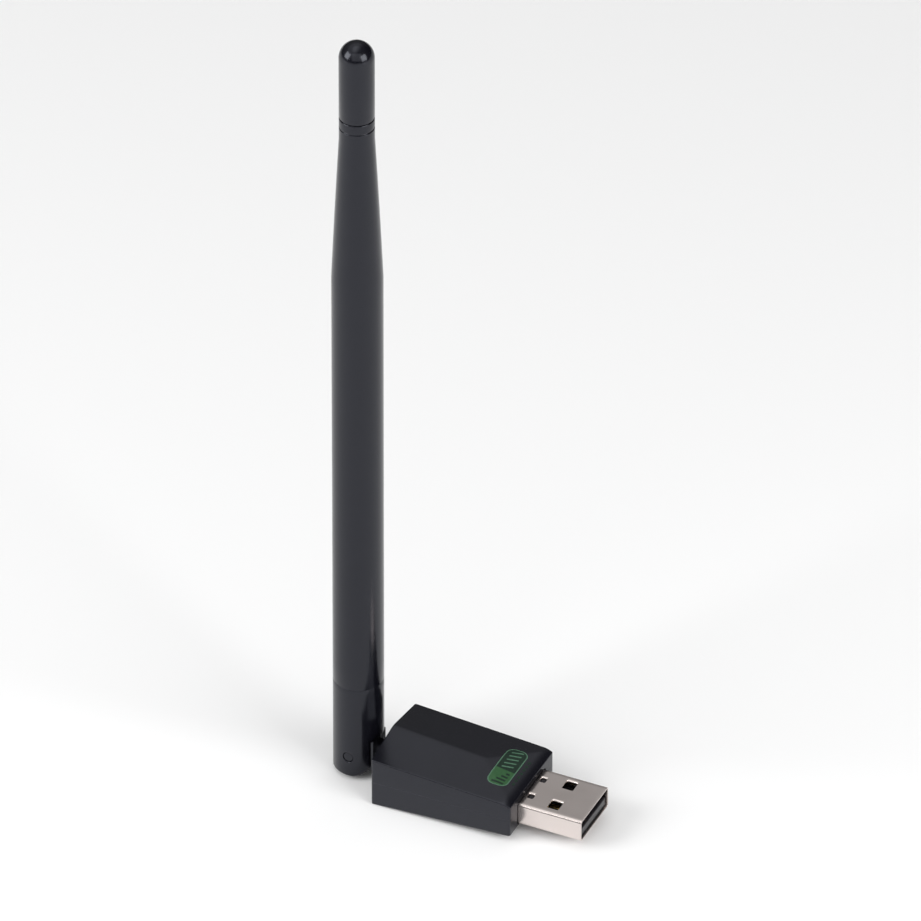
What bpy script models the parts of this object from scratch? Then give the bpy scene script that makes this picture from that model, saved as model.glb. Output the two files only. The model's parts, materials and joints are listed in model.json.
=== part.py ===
"""USB Wi-Fi adapter with a hinged rod antenna.

Frame: X runs along the plug towards its open end, Y across the case and Z up
along the raised antenna.  The origin is at the middle of the footprint, on the
surface that the adapter stands on.
"""
from math import cos, pi, radians, sin, sqrt

import bmesh
import bpy
from mathutils import Matrix, Vector

MM = 0.001

# Case, measured from its rear face along X
CASE_LENGTH = 28.0 * MM
CASE_WIDTH_REAR = 19.1 * MM
CASE_WIDTH_FRONT = 18.9 * MM
SIDE_TOP_REAR = 10.1 * MM
SIDE_TOP_FRONT = 8.45 * MM
CREST_REAR = 11.75 * MM
CREST_END = 10.1 * MM
CREST_FRONT = 8.6 * MM
RIDGE_LENGTH = 18.5 * MM
UNDERSIDE_RISE = 1.45 * MM
WALL = 1.3 * MM
END_WALL = 1.5 * MM
LIP_WALL = 0.6 * MM
LIP_HEIGHT = 0.8 * MM
FRONT_CORNER_RADIUS = 0.45 * MM
REAR_CORNER_RADIUS = 0.4 * MM
EDGE_RADIUS = 0.22 * MM
PARTING_GAP = 0.1 * MM
RIB_Y = 5.6 * MM
RIB_THICKNESS = 1.0 * MM
RIB_REAR = 4.6 * MM
RIB_FRONT = 17.5 * MM
RIB_FOOT = 1.2 * MM

# Standard USB type A plug
PLUG_WIDTH = 12.0 * MM
PLUG_HEIGHT = 4.5 * MM
PLUG_REACH = 12.7 * MM
PLUG_LENGTH = 19.7 * MM
PLUG_CENTRE_Z = 4.32 * MM
PLUG_SHEET = 0.3 * MM
PLUG_CORNER_RADIUS = 0.6 * MM
LATCH_WINDOW = (2.2 * MM, 2.5 * MM)
LATCH_WINDOW_BACK = 6.45 * MM
LATCH_WINDOW_Y = 3.2 * MM
KEY_WINDOW = (1.2 * MM, 1.3 * MM)
KEY_WINDOW_BACK = 11.55 * MM
KEY_WINDOW_Y = 2.65 * MM
CONTACT_PITCHES = (-3.5 * MM, -1.0 * MM, 1.0 * MM, 3.5 * MM)
CONTACT_NAMES = ("ground_contact", "data_plus_contact", "data_minus_contact", "power_contact")
CONTACT_WIDTH = 1.0 * MM
CONTACT_THICKNESS = 0.25 * MM
OUTER_CONTACT_BACK = 1.2 * MM
INNER_CONTACT_BACK = 2.2 * MM

# Antenna and its hinge
HINGE_BACK = 7.0 * MM
HINGE_Z = 5.1 * MM
ANTENNA_RADIUS = 4.72 * MM
TIP_RADIUS = 3.25 * MM
KNUCKLE_BOTTOM = 0.8 * MM
SEAM_Z = 20.7 * MM
SEAM_HALF_GAP = 0.12 * MM
SPIGOT_LENGTH = 5.0 * MM
TAPER_BOTTOM = 111.0 * MM
TAPER_TOP = 141.5 * MM
RING_GROOVE_Z = 144.1 * MM
CAP_BOTTOM = 146.2 * MM
ANTENNA_TOP = 162.2 * MM
SLEEVE_BORE_RADIUS = 3.65 * MM
KNUCKLE_HEEL_RADIUS = 4.76 * MM
KNUCKLE_HEEL_Z = 5.5 * MM
TONGUE_RADIUS = 3.4 * MM
TONGUE_HALF_WIDTH = 2.71 * MM
TONGUE_END = 2.8 * MM
COLLAR_RADIUS = 3.3 * MM
COLLAR_BACK = 0.85 * MM
SHAFT_RADIUS = 2.3 * MM
FLANGE_RADIUS = 3.3 * MM
FLANGE_REAR = 2.3 * MM
FLANGE_FRONT = 3.2 * MM
SHAFT_SPACE_END = 3.5 * MM
PIN_RADIUS = 1.0 * MM
PIN_RECESS = 0.3 * MM
LEAD_RADIUS = 0.57 * MM
LEAD_BORE_RADIUS = 0.85 * MM
FEED_Z = 66.0 * MM

# Clearances
SLIDE_GAP = 0.25 * MM
FIT_GAP = 0.15 * MM

# Circuit board
BOARD_BOTTOM = 2.85 * MM
BOARD_THICKNESS = 1.0 * MM
BOARD_WIDTH = 14.8 * MM
BOARD_REAR = 3.7 * MM

OVERALL_LENGTH = ANTENNA_RADIUS + HINGE_BACK + CASE_LENGTH + PLUG_REACH
REAR_X = -OVERALL_LENGTH / 2 + ANTENNA_RADIUS + HINGE_BACK
FRONT_X = REAR_X + CASE_LENGTH
TIP_X = FRONT_X + PLUG_REACH
HINGE_X = REAR_X - HINGE_BACK
BOARD_TOP = BOARD_BOTTOM + BOARD_THICKNESS
BOARD_FRONT = TIP_X - PLUG_LENGTH - FIT_GAP

ROUND_STEPS = 56
SMALL_STEPS = 24
FAR = 40 * MM           # past the part, for the cutters
OVERLAP = 0.01 * MM     # keeps joined solids from sharing a face


def start_clean():
    """Empty the scene and make the two collections."""
    for old in list(bpy.data.objects):
        bpy.data.objects.remove(old, do_unlink=True)
    made = []
    for name in ("usb_wifi_adapter", "cutters"):
        group = bpy.data.collections.new(name)
        bpy.context.scene.collection.children.link(group)
        made.append(group)
    return made


PARTS, CUTTERS = start_clean()


def material(name, colour, roughness, metallic=0.0):
    made = bpy.data.materials.new(name)
    made.use_nodes = True
    shader = made.node_tree.nodes["Principled BSDF"]
    shader.inputs["Base Color"].default_value = (*colour, 1.0)
    shader.inputs["Roughness"].default_value = roughness
    shader.inputs["Metallic"].default_value = metallic
    return made


CASE_PLASTIC = material("charcoal_plastic", (0.028, 0.028, 0.034), 0.42)
ANTENNA_PLASTIC = material("antenna_plastic", (0.024, 0.024, 0.029), 0.38)
NICKEL = material("nickel_plated_steel", (0.62, 0.60, 0.57), 0.26, 1.0)
GOLD = material("gold_plated_contact", (0.83, 0.61, 0.27), 0.25, 1.0)
INSULATOR_PLASTIC = material("black_insulator", (0.045, 0.045, 0.05), 0.5)
BOARD_LAMINATE = material("green_laminate", (0.02, 0.14, 0.06), 0.4)
CHIP_RESIN = material("chip_resin", (0.02, 0.02, 0.02), 0.55)
CERAMIC = material("capacitor_ceramic", (0.38, 0.27, 0.17), 0.5)
TIN = material("tinned_metal", (0.7, 0.7, 0.68), 0.3, 1.0)
BRASS = material("brass", (0.72, 0.5, 0.2), 0.3, 1.0)
COPPER = material("copper_wire", (0.72, 0.36, 0.2), 0.3, 1.0)
RUBBER = material("black_rubber", (0.02, 0.02, 0.02), 0.8)
JACKET = material("lead_jacket", (0.05, 0.05, 0.055), 0.5)


def add_object(name, data, finish, parent=None):
    """Put a mesh or curve in the scene as a part, or as a cutter if finish is None."""
    made = bpy.data.objects.new(name, data)
    if finish is None:
        CUTTERS.objects.link(made)
        made.hide_render = True
        made.display_type = "WIRE"
    else:
        PARTS.objects.link(made)
        data.materials.append(finish)
    if parent is not None:
        made.parent = parent
        made.matrix_parent_inverse = Matrix.Translation(-parent.location)
    return made


def mesh_from(bm, name):
    mesh = bpy.data.meshes.new(name)
    bmesh.ops.recalc_face_normals(bm, faces=bm.faces)
    bm.to_mesh(mesh)
    bm.free()
    return mesh


def smooth(mesh, angle=35.0):
    mesh.shade_smooth()
    mesh.set_sharp_from_angle(angle=radians(angle))


def box(name, low, high, finish=None, parent=None):
    """An upright box between two opposite corners."""
    low = Vector(low)
    size = Vector(high) - low
    bm = bmesh.new()
    bmesh.ops.create_cube(bm, size=1.0)
    bmesh.ops.scale(bm, vec=size, verts=bm.verts)
    bmesh.ops.translate(bm, vec=low + size / 2, verts=bm.verts)
    return add_object(name, mesh_from(bm, name), finish, parent)


def rod(name, radius, start, end, finish=None, parent=None, steps=SMALL_STEPS):
    """A cylinder between two points."""
    start = Vector(start)
    end = Vector(end)
    run = end - start
    bm = bmesh.new()
    bmesh.ops.create_cone(bm, cap_ends=True, segments=steps, radius1=radius, radius2=radius,
                          depth=run.length)
    turn = Vector((0, 0, 1)).rotation_difference(run.normalized()).to_matrix().to_4x4()
    bmesh.ops.transform(bm, matrix=Matrix.Translation((start + end) / 2) @ turn, verts=bm.verts)
    made = add_object(name, mesh_from(bm, name), finish, parent)
    smooth(made.data)
    return made


def turned(name, profile, centre, finish=None, parent=None, ring=False, steps=ROUND_STEPS):
    """A solid of revolution about the vertical through centre; profile is (radius, height)."""
    bm = bmesh.new()
    points = [bm.verts.new((radius, 0.0, height)) for radius, height in profile]
    pairs = list(zip(points, points[1:]))
    if ring:
        pairs.append((points[-1], points[0]))
    for pair in pairs:
        bm.edges.new(pair)
    mesh = bpy.data.meshes.new(name)
    bm.to_mesh(mesh)
    bm.free()
    made = add_object(name, mesh, finish, parent)
    made.location = centre
    screw = made.modifiers.new("turn", "SCREW")
    screw.steps = steps
    screw.render_steps = steps
    screw.use_merge_vertices = True
    screw.merge_threshold = 0.00001
    screw.use_smooth_shade = True
    return made


def lead(name, points, radius, finish, parent=None):
    """A round wire along points given by hand."""
    curve = bpy.data.curves.new(name, "CURVE")
    curve.dimensions = "3D"
    curve.bevel_depth = radius
    curve.bevel_resolution = 2
    curve.use_fill_caps = True
    spline = curve.splines.new("POLY")
    spline.points.add(len(points) - 1)
    for place, point in zip(spline.points, points):
        place.co = (*point, 1.0)
    return add_object(name, curve, finish, parent)


def combine(target, tool, operation="DIFFERENCE"):
    step = target.modifiers.new(operation.lower() + "_" + tool.name, "BOOLEAN")
    step.operation = operation
    step.solver = "EXACT"
    step.object = tool


def round_edges(target, width, segments=2, angle=40.0):
    bevel = target.modifiers.new("round_edges", "BEVEL")
    bevel.width = width
    bevel.segments = segments
    bevel.limit_method = "ANGLE"
    bevel.angle_limit = radians(angle)


def between(start, end, share):
    return start + (end - start) * share


# ---------------------------------------------------------------- case form

def half_width(x):
    return between(CASE_WIDTH_REAR, CASE_WIDTH_FRONT, x / CASE_LENGTH) / 2


def crest(x):
    """Half width and height of the top's crest: a ridge that opens into a front facet."""
    if x <= RIDGE_LENGTH:
        return 0.0, between(CREST_REAR, CREST_END, x / RIDGE_LENGTH)
    share = (x - RIDGE_LENGTH) / (CASE_LENGTH - RIDGE_LENGTH)
    return half_width(x) * share, between(CREST_END, CREST_FRONT, share)


def top_height(x, y):
    """Height of the case's top at a distance x from the rear face."""
    side = between(SIDE_TOP_REAR, SIDE_TOP_FRONT, x / CASE_LENGTH)
    crest_half, crest_height = crest(x)
    slope_run = half_width(x) - crest_half
    if abs(y) <= crest_half or slope_run < 0.0001:
        return crest_height
    return between(side, crest_height, min(1.0, (half_width(x) - abs(y)) / slope_run))


def case_block(name, side_inset=0.0, end_inset=0.0, floor_inset=0.0, roof_inset=0.0):
    """The case's outer form, or a smaller copy of it for its hollow."""
    bm = bmesh.new()
    bmesh.ops.create_cube(bm, size=2.0)
    for corner in bm.verts:
        x = end_inset if corner.co.x < 0 else CASE_LENGTH - end_inset
        y = (half_width(x) - side_inset) * (1 if corner.co.y > 0 else -1)
        corner.co = (x, y, 1.0 if corner.co.z > 0 else 0.0)

    def slice_at(point, normal, wanted=lambda centre: True):
        faces = [face for face in bm.faces if wanted(face.calc_center_median())]
        edges = {edge for face in faces for edge in face.edges}
        verts = {vert for face in faces for vert in face.verts}
        bmesh.ops.bisect_plane(bm, geom=[*verts, *edges, *faces], plane_co=point, plane_no=normal,
                               dist=0.00001)

    slice_at((0, 0, 0), (0, 1, 0))
    for share in (0.25, 0.5, 0.75, 1.0):
        slice_at((RIDGE_LENGTH * share, 0, 0), (1, 0, 0))
    front_y = half_width(CASE_LENGTH)
    run = CASE_LENGTH - RIDGE_LENGTH
    for side in (1, -1):
        slice_at((RIDGE_LENGTH, 0, 0), (front_y, -side * run, 0),
                 lambda centre: centre.x > RIDGE_LENGTH and centre.y * side > 0)
    for vert in bm.verts:
        x, y, level = vert.co
        if level > 0.5:
            vert.co.z = top_height(x, y) - roof_inset
        else:
            vert.co.z = UNDERSIDE_RISE * x / CASE_LENGTH + floor_inset
    bmesh.ops.remove_doubles(bm, verts=bm.verts, dist=0.00001)
    bmesh.ops.dissolve_limit(bm, angle_limit=radians(0.05), verts=bm.verts, edges=bm.edges)
    bmesh.ops.translate(bm, vec=(REAR_X, 0, 0), verts=bm.verts)
    return bm


def upright_corner_edges(bm, at_front):
    """The case's upright corner edges at its front or at its rear."""
    end = FRONT_X if at_front else REAR_X
    found = []
    for edge in bm.edges:
        middle = (edge.verts[0].co + edge.verts[1].co) / 2
        rise = abs(edge.verts[0].co.z - edge.verts[1].co.z)
        if abs(middle.x - end) < 0.0001 and abs(middle.y) > half_width(0) * 0.9 and rise > 0.002:
            found.append(edge)
    return found


def case_outside(name):
    bm = case_block(name)
    bmesh.ops.bevel(bm, geom=upright_corner_edges(bm, True), offset=FRONT_CORNER_RADIUS,
                    segments=5, profile=0.5, affect="EDGES")
    bmesh.ops.bevel(bm, geom=upright_corner_edges(bm, False), offset=REAR_CORNER_RADIUS,
                    segments=3, profile=0.5, affect="EDGES")
    return mesh_from(bm, name)


def parting_cutter(name, above, lift=0.0):
    """A large block above or below the parting plane, which is level with the hinge."""
    face = HINGE_Z + lift
    low, high = (face, face + FAR) if above else (face - FAR, face)
    return box(name, (-FAR, -FAR, low), (FAR, FAR, high))


def cover(name, above):
    made = add_object(name, case_outside(name), CASE_PLASTIC)
    round_edges(made, EDGE_RADIUS)
    side = WALL if above else WALL + LIP_WALL
    hollow_mesh = mesh_from(case_block(name + "_hollow", side, END_WALL, WALL, WALL), name + "_hollow")
    hollow = add_object(name + "_hollow", hollow_mesh, None)
    combine(made, hollow)
    return made


def openings_for_plug_and_neck():
    """The spaces that the plug and the swivel shaft take in the two covers."""
    half_w = PLUG_WIDTH / 2 + FIT_GAP
    half_h = PLUG_HEIGHT / 2 + FIT_GAP
    plug_space = box("plug_space", (TIP_X - PLUG_LENGTH - 0.5 * MM, -half_w, PLUG_CENTRE_Z - half_h),
                     (TIP_X, half_w, PLUG_CENTRE_Z + half_h))
    bevel = plug_space.modifiers.new("corners", "BEVEL")
    bevel.width = PLUG_CORNER_RADIUS
    bevel.segments = 3
    end = (REAR_X + SHAFT_SPACE_END, 0, HINGE_Z)
    shaft_space = rod("shaft_space", SHAFT_RADIUS + SLIDE_GAP, (REAR_X - COLLAR_BACK, 0, HINGE_Z), end,
                      steps=ROUND_STEPS)
    flange_space = rod("flange_space", FLANGE_RADIUS + SLIDE_GAP, (REAR_X + END_WALL, 0, HINGE_Z), end,
                       steps=ROUND_STEPS)
    return plug_space, shaft_space, flange_space


def build_covers():
    spaces = openings_for_plug_and_neck()
    top = cover("top_cover", True)
    combine(top, parting_cutter("below_parting", False, PARTING_GAP / 2))
    bottom = cover("bottom_cover", False)
    combine(bottom, parting_cutter("above_lip", True, LIP_HEIGHT))
    ring_bm = case_block("lip_space")
    bmesh.ops.scale(ring_bm, vec=(1.2, 1.2, 1.0), verts=ring_bm.verts)
    lip_space = add_object("lip_space", mesh_from(ring_bm, "lip_space"), None)
    inner_bm = case_block("lip_inside", WALL + FIT_GAP, END_WALL + FIT_GAP, -WALL, -WALL)
    lip_inside = add_object("lip_inside", mesh_from(inner_bm, "lip_inside"), None)
    combine(lip_space, lip_inside)
    combine(lip_space, parting_cutter("below_lip", False, -PARTING_GAP / 2))
    combine(bottom, lip_space)
    for number, y in enumerate((-RIB_Y, RIB_Y)):
        rib = box("board_rib_%d" % (number + 1), (REAR_X + RIB_REAR, y - RIB_THICKNESS / 2, RIB_FOOT),
                  (REAR_X + RIB_FRONT, y + RIB_THICKNESS / 2, BOARD_BOTTOM - FIT_GAP))
        combine(bottom, rib, "UNION")
    for piece in (top, bottom):
        for space in spaces:
            combine(piece, space)


# ---------------------------------------------------------------- plug

def tube_block(name, x0, x1, half_w, half_h, radius, finish=None):
    """A bar along X with rounded long edges."""
    bm = bmesh.new()
    bmesh.ops.create_cube(bm, size=1.0)
    bmesh.ops.scale(bm, vec=(x1 - x0, half_w * 2, half_h * 2), verts=bm.verts)
    bmesh.ops.translate(bm, vec=((x0 + x1) / 2, 0, PLUG_CENTRE_Z), verts=bm.verts)
    long_edges = [e for e in bm.edges if abs(e.verts[0].co.x - e.verts[1].co.x) > 0.001]
    bmesh.ops.bevel(bm, geom=long_edges, offset=radius, segments=4, profile=0.5, affect="EDGES")
    return add_object(name, mesh_from(bm, name), finish)


def build_plug():
    rear = TIP_X - PLUG_LENGTH
    shell = tube_block("usb_shell", rear, TIP_X, PLUG_WIDTH / 2, PLUG_HEIGHT / 2,
                       PLUG_CORNER_RADIUS, NICKEL)
    smooth(shell.data)
    inside = tube_block("shell_inside", rear - 0.001, TIP_X + 0.001, PLUG_WIDTH / 2 - PLUG_SHEET,
                        PLUG_HEIGHT / 2 - PLUG_SHEET, PLUG_CORNER_RADIUS - PLUG_SHEET)
    combine(shell, inside)
    windows = ((LATCH_WINDOW, LATCH_WINDOW_BACK, LATCH_WINDOW_Y, True),
               (KEY_WINDOW, KEY_WINDOW_BACK, KEY_WINDOW_Y, False))
    for size, back, offset, through in windows:
        for side in (-1, 1):
            centre = Vector((TIP_X - back, side * offset, PLUG_CENTRE_Z))
            reach = Vector((size[0] / 2, size[1] / 2, PLUG_HEIGHT))
            low = centre - reach
            if not through:
                low.z = PLUG_CENTRE_Z
            window = box("window_%s_%d" % ("latch" if through else "key", side + 1), low, centre + reach)
            combine(shell, window)

    floor = PLUG_CENTRE_Z - PLUG_HEIGHT / 2 + PLUG_SHEET + FIT_GAP
    tongue_top = PLUG_CENTRE_Z - 0.1 * MM
    half_w = PLUG_WIDTH / 2 - PLUG_SHEET - FIT_GAP
    insulator = box("usb_insulator", (rear + 0.3 * MM, -half_w, floor),
                    (TIP_X - 0.35 * MM, half_w, tongue_top), INSULATOR_PLASTIC)
    round_edges(insulator, 0.2 * MM)
    for side in (-1, 1):
        block = box("key_block_%d" % (side + 1),
                    (TIP_X - KEY_WINDOW_BACK - 1.6 * MM, side * KEY_WINDOW_Y - 1.1 * MM, floor + 0.5 * MM),
                    (TIP_X - KEY_WINDOW_BACK + 1.0 * MM, side * KEY_WINDOW_Y + 1.1 * MM,
                     PLUG_CENTRE_Z + PLUG_HEIGHT / 2 - PLUG_SHEET - FIT_GAP))
        combine(insulator, block, "UNION")

    groove_depth = CONTACT_THICKNESS - 0.05 * MM
    contact_rear = BOARD_FRONT - 2.0 * MM
    for name, y in zip(CONTACT_NAMES, CONTACT_PITCHES):
        outer = abs(y) > 2 * MM
        front = TIP_X - (OUTER_CONTACT_BACK if outer else INNER_CONTACT_BACK)
        half = CONTACT_WIDTH / 2
        groove = box(name + "_groove", (rear - 0.001, y - half - FIT_GAP, tongue_top - groove_depth),
                     (front + FIT_GAP, y + half + FIT_GAP, tongue_top + CONTACT_THICKNESS))
        combine(insulator, groove)
        strip_low = tongue_top - groove_depth + 0.1 * MM
        strip = box(name, (contact_rear, y - half, strip_low),
                    (front, y + half, strip_low + CONTACT_THICKNESS), GOLD)
        round_edges(strip, 0.06 * MM, 1)


# ---------------------------------------------------------------- circuit board

def component(name, x, y, size, finish, bevel=0.05 * MM):
    """A part on the board's top face, its centre x from the case's rear face."""
    length, width, height = size
    low = (REAR_X + x - length / 2, y - width / 2, BOARD_TOP + 0.08 * MM)
    high = (REAR_X + x + length / 2, y + width / 2, BOARD_TOP + 0.08 * MM + height)
    made = box(name, low, high, finish)
    round_edges(made, bevel, 1)
    return made


def build_board():
    board = box("circuit_board", (REAR_X + BOARD_REAR, -BOARD_WIDTH / 2, BOARD_BOTTOM),
                (BOARD_FRONT, BOARD_WIDTH / 2, BOARD_TOP), BOARD_LAMINATE)
    round_edges(board, 0.1 * MM, 1)
    component("wifi_chip", 12.6 * MM, -0.4 * MM, (5.0 * MM, 5.0 * MM, 0.85 * MM), CHIP_RESIN)
    component("crystal_can", 12.6 * MM, 4.9 * MM, (3.2 * MM, 2.5 * MM, 0.75 * MM), TIN, 0.15 * MM)
    component("voltage_regulator", 17.2 * MM, -5.3 * MM, (2.9 * MM, 1.6 * MM, 1.1 * MM), CHIP_RESIN)
    component("power_inductor", 12.9 * MM, -5.4 * MM, (2.5 * MM, 2.0 * MM, 1.2 * MM), CHIP_RESIN, 0.2 * MM)
    component("rf_switch", 8.6 * MM, 0.2 * MM, (1.1 * MM, 1.5 * MM, 0.6 * MM), CHIP_RESIN)
    small = (1.0 * MM, 0.5 * MM, 0.5 * MM)
    large = (1.6 * MM, 0.8 * MM, 0.8 * MM)
    for number, (x, y, size) in enumerate(((16.4 * MM, 5.6 * MM, large), (9.2 * MM, -5.6 * MM, large),
                                           (9.2 * MM, 3.2 * MM, small), (15.9 * MM, 2.9 * MM, small))):
        component("capacitor_%d" % (number + 1), x, y, size, CERAMIC)
    for number, (x, y) in enumerate(((9.2 * MM, -3.4 * MM), (9.2 * MM, 5.6 * MM), (6.4 * MM, -5.4 * MM))):
        component("resistor_%d" % (number + 1), x, y, (1.0 * MM, 0.5 * MM, 0.35 * MM), CHIP_RESIN)


# ---------------------------------------------------------------- swivel and antenna

def joint_empty(name, place):
    empty = bpy.data.objects.new(name, None)
    PARTS.objects.link(empty)
    empty.location = place
    empty.empty_display_size = 0.005
    return empty


def tongue_blank(parent):
    """A slab with a round end about the hinge pin, reaching forward to the shaft."""
    end_x = REAR_X - TONGUE_END
    slab = rod("swivel_neck", TONGUE_RADIUS, (HINGE_X, -TONGUE_HALF_WIDTH, HINGE_Z),
               (HINGE_X, TONGUE_HALF_WIDTH, HINGE_Z), ANTENNA_PLASTIC, parent, ROUND_STEPS)
    bar = box("tongue_bar", (HINGE_X, -TONGUE_HALF_WIDTH + OVERLAP, HINGE_Z - TONGUE_RADIUS),
              (end_x, TONGUE_HALF_WIDTH - OVERLAP, HINGE_Z + TONGUE_RADIUS))
    combine(slab, bar, "UNION")
    return slab


def build_swivel(parent):
    neck = tongue_blank(parent)
    shaft_rear = -TONGUE_END - 0.5 * MM
    shaft_front = FLANGE_FRONT - 0.1 * MM
    stations = ((COLLAR_RADIUS, -COLLAR_BACK, -SLIDE_GAP), (SHAFT_RADIUS, shaft_rear, shaft_front),
                (FLANGE_RADIUS, FLANGE_REAR, FLANGE_FRONT))
    for number, (radius, start, end) in enumerate(stations):
        disc = rod("neck_disc_%d" % (number + 1), radius, (REAR_X + start, 0, HINGE_Z),
                   (REAR_X + end, 0, HINGE_Z), steps=ROUND_STEPS)
        if number == 0:
            round_edges(disc, 0.12 * MM, 2, 60.0)
        combine(neck, disc, "UNION")
    bore = rod("lead_bore", LEAD_BORE_RADIUS, (HINGE_X, 0, HINGE_Z), (REAR_X + FAR, 0, HINGE_Z))
    swing = box("lead_swing", (HINGE_X - 5 * MM, -LEAD_BORE_RADIUS, HINGE_Z - 1.0 * MM),
                (HINGE_X + 1.2 * MM, LEAD_BORE_RADIUS, HINGE_Z + 5 * MM))
    combine(neck, bore)
    combine(neck, swing)
    pin_hole = rod("neck_pin_hole", PIN_RADIUS + FIT_GAP, (HINGE_X, -ANTENNA_RADIUS, HINGE_Z),
                   (HINGE_X, ANTENNA_RADIUS, HINGE_Z))
    combine(neck, pin_hole)

    ring_outer = FLANGE_RADIUS - 0.1 * MM
    ring_inner = SHAFT_RADIUS + FIT_GAP
    half = 0.28 * MM
    ring = turned("swivel_friction_ring", [(ring_outer, half), (ring_outer, -half),
                                           (ring_inner, -half), (ring_inner, half)],
                  (REAR_X + 1.9 * MM, 0, HINGE_Z), RUBBER, ring=True, steps=32)
    ring.parent = parent
    ring.matrix_parent_inverse = Matrix.Translation(-parent.location)
    ring.rotation_euler = (0, pi / 2, 0)
    lead("antenna_lead_hinge", [(HINGE_X + 0.75 * MM, 0, HINGE_Z), (REAR_X + 3.0 * MM, 0, HINGE_Z)],
         LEAD_RADIUS, JACKET, parent)


def build_case_lead():
    """The stretch of the lead from the swivel shaft down to the board."""
    route = ((3.4, 0.0, 5.1), (4.2, 0.0, 5.08), (4.9, 0.1, 4.95), (5.6, 0.3, 4.72), (6.3, 0.6, 4.58),
             (7.2, 0.8, 4.58))
    lead("antenna_lead_case", [(REAR_X + x * MM, y * MM, z * MM) for x, y, z in route],
         LEAD_RADIUS, JACKET)


def heel_cutter():
    """The space below the knuckle's round heel, on the side towards the case."""
    steps = 24
    reach = 10 * MM
    outline = [(KNUCKLE_HEEL_RADIUS * sin(step * pi / 2 / steps),
                KNUCKLE_HEEL_Z - KNUCKLE_HEEL_RADIUS * cos(step * pi / 2 / steps))
               for step in range(steps + 1)]
    outline += [(reach, KNUCKLE_HEEL_Z), (reach, -reach), (0.0, -reach)]
    bm = bmesh.new()
    near = [bm.verts.new((HINGE_X + x, -reach, z)) for x, z in outline]
    far = [bm.verts.new((HINGE_X + x, reach, z)) for x, z in outline]
    bm.faces.new(near)
    bm.faces.new(far)
    for index in range(len(outline)):
        after = (index + 1) % len(outline)
        bm.faces.new((near[index], near[after], far[after], far[index]))
    return add_object("heel_space", mesh_from(bm, "heel_space"), None)


def build_knuckle(parent):
    """The fork at the antenna's foot: its heel is round towards the case, to clear the collar."""
    low = KNUCKLE_BOTTOM
    high = SEAM_Z - SEAM_HALF_GAP
    edge = 0.35 * MM
    spigot = SLEEVE_BORE_RADIUS - SLIDE_GAP
    spigot_top = SEAM_Z + SPIGOT_LENGTH
    profile = [(0.0, spigot_top), (spigot, spigot_top), (spigot, high), (ANTENNA_RADIUS - 0.2 * MM, high),
               (ANTENNA_RADIUS, high - 0.2 * MM), (ANTENNA_RADIUS, low + edge)]
    for step in range(1, 4):
        turn = step * pi / 6
        profile.append((ANTENNA_RADIUS - edge + edge * cos(turn), low + edge - edge * sin(turn)))
    profile.append((0.0, low))
    knuckle = turned("antenna_knuckle", profile, (HINGE_X, 0, 0), ANTENNA_PLASTIC, parent)
    combine(knuckle, heel_cutter())
    half = TONGUE_HALF_WIDTH + SLIDE_GAP
    reach = TONGUE_RADIUS + SLIDE_GAP
    slot_round = rod("slot_round", reach, (HINGE_X, -half, HINGE_Z), (HINGE_X, half, HINGE_Z),
                     steps=ROUND_STEPS)
    slot_out = box("slot_towards_case", (HINGE_X, -half + OVERLAP, HINGE_Z - reach - 2 * MM),
                   (HINGE_X + FAR, half - OVERLAP, HINGE_Z + reach))
    slot_down = box("slot_downwards", (HINGE_X - reach, -half + 2 * OVERLAP, -FAR),
                    (HINGE_X + FAR, half - 2 * OVERLAP, HINGE_Z))
    combine(slot_round, slot_out, "UNION")
    combine(slot_round, slot_down, "UNION")
    combine(knuckle, slot_round)
    pin_hole = rod("knuckle_pin_hole", PIN_RADIUS + 0.02 * MM, (HINGE_X, -2 * ANTENNA_RADIUS, HINGE_Z),
                   (HINGE_X, 2 * ANTENNA_RADIUS, HINGE_Z))
    lead_hole = rod("knuckle_lead_hole", LEAD_BORE_RADIUS + 0.2 * MM, (HINGE_X, 0, HINGE_Z),
                    (HINGE_X, 0, HINGE_Z + FAR))
    combine(knuckle, pin_hole)
    combine(knuckle, lead_hole)


def build_pins(parent):
    inner = LEAD_BORE_RADIUS + FIT_GAP
    outer = sqrt(ANTENNA_RADIUS ** 2 - PIN_RADIUS ** 2) - PIN_RECESS
    for name, side in (("hinge_pin_left", -1), ("hinge_pin_right", 1)):
        pin = rod(name, PIN_RADIUS - 0.03 * MM, (HINGE_X, side * inner, HINGE_Z),
                  (HINGE_X, side * outer, HINGE_Z), ANTENNA_PLASTIC, parent)
        round_edges(pin, 0.15 * MM, 2, 60.0)


def sleeve_profile():
    low = SEAM_Z + SEAM_HALF_GAP
    top = CAP_BOTTOM - 0.1 * MM
    groove = 0.25 * MM
    shoulder = 0.3 * MM
    bore_low = SLEEVE_BORE_RADIUS
    bore_top = 2.35 * MM
    taper = TAPER_TOP - TAPER_BOTTOM
    drop = ANTENNA_RADIUS - TIP_RADIUS
    profile = [(TIP_RADIUS - shoulder, top), (TIP_RADIUS, top - shoulder)]
    profile += [(TIP_RADIUS, RING_GROOVE_Z + groove), (TIP_RADIUS - groove, RING_GROOVE_Z),
                (TIP_RADIUS, RING_GROOVE_Z - groove)]
    for step in range(9):
        share = step / 8
        swell = 0.03 * sin(share * pi)
        profile.append((TIP_RADIUS + drop * (share + swell), TAPER_TOP - taper * share))
    profile += [(ANTENNA_RADIUS, low + 0.2 * MM), (ANTENNA_RADIUS - 0.2 * MM, low), (bore_low, low),
                (bore_low, TAPER_BOTTOM), (bore_top, TAPER_TOP), (bore_top, top)]
    return profile


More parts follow.
